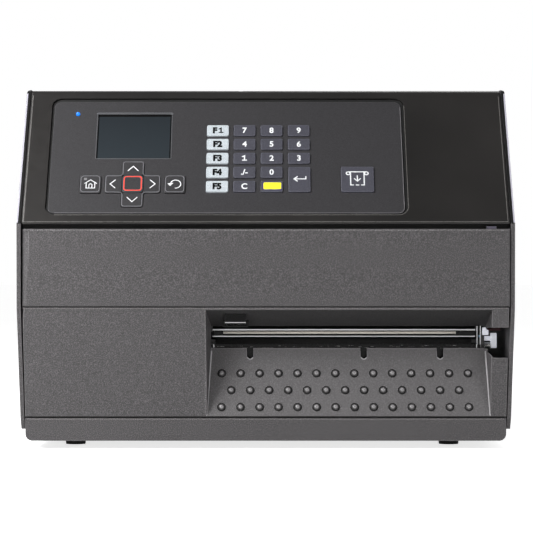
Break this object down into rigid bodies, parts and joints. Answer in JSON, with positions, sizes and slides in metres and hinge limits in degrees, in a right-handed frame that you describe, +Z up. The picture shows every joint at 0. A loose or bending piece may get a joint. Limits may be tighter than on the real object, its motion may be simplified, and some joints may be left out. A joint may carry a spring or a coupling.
{
  "type": "label printer",
  "caption": "Desktop industrial label printer with a sloping keypad console, swing front door with label outlet, lift-up side door and exposed print mechanism.",
  "frame": {"origin": "centre of the footprint on the surface the feet stand on", "axes": "+X to the right of someone facing the console, +Y from the front to the rear, +Z up"},
  "size_m": [0.355, 0.454, 0.2644],
  "materials": {
    "cover_plastic": "fine grained dark grey moulded plastic",
    "bezel_gloss": "glossy near-black moulded plastic",
    "console_film": "satin dark grey printed film over plastic",
    "key_grey": "satin mid grey key film",
    "key_white": "satin white key film",
    "tinted_window": "smoke tinted clear plastic",
    "lcd_glass": "dark display glass",
    "led_lens": "blue translucent lens",
    "circuit_board": "green board with parts",
    "zinc_steel": "zinc plated sheet steel",
    "dark_steel": "black painted steel hinge",
    "bright_steel": "ground bright steel",
    "screw_steel": "black zinc screws",
    "chassis_paint": "dark grey powder coat",
    "motor_paint": "black lacquered laminations",
    "head_alloy": "machined aluminium",
    "foot_rubber": "soft black rubber",
    "roller_rubber": "ground black roller rubber",
    "belt_rubber": "toothed belt rubber",
    "lever_plastic": "touch-point coloured plastic",
    "spindle_plastic": "glass filled black plastic",
    "black_plastic": "black moulded plastic"
  },
  "bodies": {
    "chassis": {"left_cover": "cover_plastic", "front_skirt": "cover_plastic", "front_bezel": "bezel_gloss", "console_plate": "console_film", "lcd_window": "lcd_glass", "console_board": "circuit_board", "status_led": "led_lens", "top_hinge": "dark_steel", "door_hinge_bracket": "zinc_steel", "base_pan": "chassis_paint", "center_wall": "zinc_steel", "rear_panel": "chassis_paint", "feet": "foot_rubber", "cover_screws": "screw_steel", "print_frame": "zinc_steel", "tear_bar": "bright_steel", "media_hub": "spindle_plastic", "stepper_motor": "motor_paint", "drive_belt": "belt_rubber", "power_supply": "circuit_board", "main_board": "circuit_board", "inlet_and_switch_frame": "black_plastic"},
    "front_door": {"door_upper_panel": "cover_plastic", "door_lower_panel": "cover_plastic", "label_taken_sensor": "black_plastic"},
    "side_door": {"side_door": "cover_plastic", "side_door_window": "tinted_window"},
    "platen": {"platen_rubber": "roller_rubber", "platen_shaft": "bright_steel"},
    "motor_pulley": {"motor_pulley": "head_alloy"},
    "print_head": {"print_head": "head_alloy"},
    "head_lever": {"head_lever": "lever_plastic"},
    "ribbon_supply": {"ribbon_supply_spindle": "spindle_plastic"},
    "ribbon_rewind": {"ribbon_rewind_spindle": "spindle_plastic"},
    "media_retainer": {"media_retainer": "lever_plastic"},
    "power_switch": {"power_switch": "black_plastic"},
    "key_f1": {"key_f1": "key_white"},
    "key_f2": {"key_f2": "key_white"},
    "key_f3": {"key_f3": "key_white"},
    "key_f4": {"key_f4": "key_white"},
    "key_f5": {"key_f5": "key_white"},
    "key_7": {"key_7": "key_grey"},
    "key_4": {"key_4": "key_grey"},
    "key_1": {"key_1": "key_grey"},
    "key_dot": {"key_dot": "key_grey"},
    "key_c": {"key_c": "key_grey"},
    "key_8": {"key_8": "key_grey"},
    "key_5": {"key_5": "key_grey"},
    "key_2": {"key_2": "key_grey"},
    "key_0": {"key_0": "key_grey"},
    "key_shift": {"key_shift": "key_grey"},
    "key_9": {"key_9": "key_grey"},
    "key_6": {"key_6": "key_grey"},
    "key_3": {"key_3": "key_grey"},
    "key_enter": {"key_enter": "key_grey"},
    "key_print": {"key_print": "key_grey"},
    "key_home": {"key_home": "console_film"},
    "key_back": {"key_back": "console_film"},
    "key_arrows": {"key_arrows": "console_film"},
    "key_ok": {"key_ok": "console_film"}
  },
  "joints": [
    {"name": "front_door_swing", "type": "hinge", "parent": "chassis", "child": "front_door", "pos_m": [-0.1688, -0.2213, 0.09], "axis": [0, 0, -1], "range_deg": [0, 90]},
    {"name": "side_door_lift", "type": "hinge", "parent": "chassis", "child": "side_door", "pos_m": [-0.0185, 0, 0.262], "axis": [0, -1, 0], "range_deg": [0, 100]},
    {"name": "platen_turn", "type": "hinge", "parent": "chassis", "child": "platen", "pos_m": [0.05, -0.183, 0.07], "axis": [1, 0, 0], "continuous": true},
    {"name": "motor_turn", "type": "hinge", "parent": "chassis", "child": "motor_pulley", "pos_m": [-0.06, -0.121, 0.062], "axis": [1, 0, 0], "continuous": true},
    {"name": "head_lift", "type": "hinge", "parent": "chassis", "child": "print_head", "pos_m": [0.05, -0.129, 0.106], "axis": [-1, 0, 0], "range_deg": [0, 6]},
    {"name": "head_lever_turn", "type": "hinge", "parent": "chassis", "child": "head_lever", "pos_m": [0.158, -0.157, 0.104], "axis": [-1, 0, 0], "range_deg": [0, 78]},
    {"name": "ribbon_supply_turn", "type": "hinge", "parent": "chassis", "child": "ribbon_supply", "pos_m": [0.05, -0.012, 0.2], "axis": [1, 0, 0], "continuous": true},
    {"name": "ribbon_rewind_turn", "type": "hinge", "parent": "chassis", "child": "ribbon_rewind", "pos_m": [0.05, -0.087, 0.205], "axis": [1, 0, 0], "continuous": true},
    {"name": "media_retainer_slide", "type": "slide", "parent": "chassis", "child": "media_retainer", "axis": [1, 0, 0], "range_m": [-0.1, 0.024]},
    {"name": "power_switch_rock", "type": "hinge", "parent": "chassis", "child": "power_switch", "pos_m": [-0.105, 0.219, 0.04], "axis": [1, 0, 0], "range_deg": [0, 12]},
    {"name": "key_f1_press", "type": "slide", "parent": "chassis", "child": "key_f1", "axis": [0, 0.809, -0.5878], "range_m": [0, 0.0008], "stiffness_N_per_m": 600, "springref_m": -0.0006},
    {"name": "key_f2_press", "type": "slide", "parent": "chassis", "child": "key_f2", "axis": [0, 0.809, -0.5878], "range_m": [0, 0.0008], "stiffness_N_per_m": 600, "springref_m": -0.0006},
    {"name": "key_f3_press", "type": "slide", "parent": "chassis", "child": "key_f3", "axis": [0, 0.809, -0.5878], "range_m": [0, 0.0008], "stiffness_N_per_m": 600, "springref_m": -0.0006},
    {"name": "key_f4_press", "type": "slide", "parent": "chassis", "child": "key_f4", "axis": [0, 0.809, -0.5878], "range_m": [0, 0.0008], "stiffness_N_per_m": 600, "springref_m": -0.0006},
    {"name": "key_f5_press", "type": "slide", "parent": "chassis", "child": "key_f5", "axis": [0, 0.809, -0.5878], "range_m": [0, 0.0008], "stiffness_N_per_m": 600, "springref_m": -0.0006},
    {"name": "key_7_press", "type": "slide", "parent": "chassis", "child": "key_7", "axis": [0, 0.809, -0.5878], "range_m": [0, 0.0008], "stiffness_N_per_m": 600, "springref_m": -0.0006},
    {"name": "key_4_press", "type": "slide", "parent": "chassis", "child": "key_4", "axis": [0, 0.809, -0.5878], "range_m": [0, 0.0008], "stiffness_N_per_m": 600, "springref_m": -0.0006},
    {"name": "key_1_press", "type": "slide", "parent": "chassis", "child": "key_1", "axis": [0, 0.809, -0.5878], "range_m": [0, 0.0008], "stiffness_N_per_m": 600, "springref_m": -0.0006},
    {"name": "key_dot_press", "type": "slide", "parent": "chassis", "child": "key_dot", "axis": [0, 0.809, -0.5878], "range_m": [0, 0.0008], "stiffness_N_per_m": 600, "springref_m": -0.0006},
    {"name": "key_c_press", "type": "slide", "parent": "chassis", "child": "key_c", "axis": [0, 0.809, -0.5878], "range_m": [0, 0.0008], "stiffness_N_per_m": 600, "springref_m": -0.0006},
    {"name": "key_8_press", "type": "slide", "parent": "chassis", "child": "key_8", "axis": [0, 0.809, -0.5878], "range_m": [0, 0.0008], "stiffness_N_per_m": 600, "springref_m": -0.0006},
    {"name": "key_5_press", "type": "slide", "parent": "chassis", "child": "key_5", "axis": [0, 0.809, -0.5878], "range_m": [0, 0.0008], "stiffness_N_per_m": 600, "springref_m": -0.0006},
    {"name": "key_2_press", "type": "slide", "parent": "chassis", "child": "key_2", "axis": [0, 0.809, -0.5878], "range_m": [0, 0.0008], "stiffness_N_per_m": 600, "springref_m": -0.0006},
    {"name": "key_0_press", "type": "slide", "parent": "chassis", "child": "key_0", "axis": [0, 0.809, -0.5878], "range_m": [0, 0.0008], "stiffness_N_per_m": 600, "springref_m": -0.0006},
    {"name": "key_shift_press", "type": "slide", "parent": "chassis", "child": "key_shift", "axis": [0, 0.809, -0.5878], "range_m": [0, 0.0008], "stiffness_N_per_m": 600, "springref_m": -0.0006},
    {"name": "key_9_press", "type": "slide", "parent": "chassis", "child": "key_9", "axis": [0, 0.809, -0.5878], "range_m": [0, 0.0008], "stiffness_N_per_m": 600, "springref_m": -0.0006},
    {"name": "key_6_press", "type": "slide", "parent": "chassis", "child": "key_6", "axis": [0, 0.809, -0.5878], "range_m": [0, 0.0008], "stiffness_N_per_m": 600, "springref_m": -0.0006},
    {"name": "key_3_press", "type": "slide", "parent": "chassis", "child": "key_3", "axis": [0, 0.809, -0.5878], "range_m": [0, 0.0008], "stiffness_N_per_m": 600, "springref_m": -0.0006},
    {"name": "key_enter_press", "type": "slide", "parent": "chassis", "child": "key_enter", "axis": [0, 0.809, -0.5878], "range_m": [0, 0.0008], "stiffness_N_per_m": 600, "springref_m": -0.0006},
    {"name": "key_print_press", "type": "slide", "parent": "chassis", "child": "key_print", "axis": [0, 0.809, -0.5878], "range_m": [0, 0.0008], "stiffness_N_per_m": 600, "springref_m": -0.0006},
    {"name": "key_home_press", "type": "slide", "parent": "chassis", "child": "key_home", "axis": [0, 0.809, -0.5878], "range_m": [0, 0.0008], "stiffness_N_per_m": 600, "springref_m": -0.0006},
    {"name": "key_back_press", "type": "slide", "parent": "chassis", "child": "key_back", "axis": [0, 0.809, -0.5878], "range_m": [0, 0.0008], "stiffness_N_per_m": 600, "springref_m": -0.0006},
    {"name": "key_arrows_press", "type": "slide", "parent": "chassis", "child": "key_arrows", "axis": [0, 0.809, -0.5878], "range_m": [0, 0.0008], "stiffness_N_per_m": 600, "springref_m": -0.0006},
    {"name": "key_ok_press", "type": "slide", "parent": "chassis", "child": "key_ok", "axis": [0, 0.809, -0.5878], "range_m": [0, 0.0008], "stiffness_N_per_m": 600, "springref_m": -0.0006}
  ],
  "couplings": [
    {"joint": "motor_turn", "follows": "platen_turn", "ratio": 1.75},
    {"joint": "head_lever_turn", "follows": "head_lift", "ratio": 13}
  ]
}
